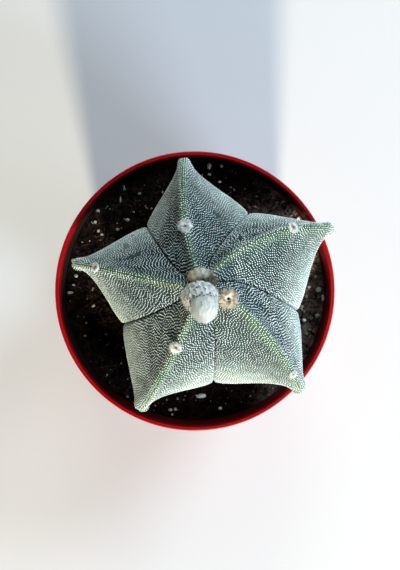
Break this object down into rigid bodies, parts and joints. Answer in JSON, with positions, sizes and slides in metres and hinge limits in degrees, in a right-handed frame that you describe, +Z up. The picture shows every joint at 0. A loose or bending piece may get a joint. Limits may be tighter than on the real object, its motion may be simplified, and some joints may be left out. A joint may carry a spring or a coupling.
{
  "type": "potted bishop's cap cactus",
  "caption": "Five-ribbed star cactus with felted areoles and a woolly flower bud, in peat and perlite, in a red plastic nursery pot.",
  "frame": {"origin": "middle of the pot's foot, on the surface it stands on", "axes": "+Z up along the pot's axis; +Y is the picture's upward direction and +X its right"},
  "size_m": [0.09, 0.09, 0.1331],
  "materials": {
    "red_plastic": "moulded, soft gloss",
    "peat": "dark crumbly peat",
    "perlite": "white porous grains",
    "cactus_skin": "matt dark green skin",
    "white_flecks": "tiny tufts of white down",
    "bud_wool": "grey-white wool and silk",
    "crown_felt": "buff felt",
    "dry_felt": "dry cream and brown felt"
  },
  "bodies": {
    "root": {"pot": "red_plastic", "soil": "peat", "cactus_body": "cactus_skin", "flower_bud": "bud_wool", "crown_wool": "crown_felt", "flower_scar": "dry_felt"}
  },
  "joints": []
}
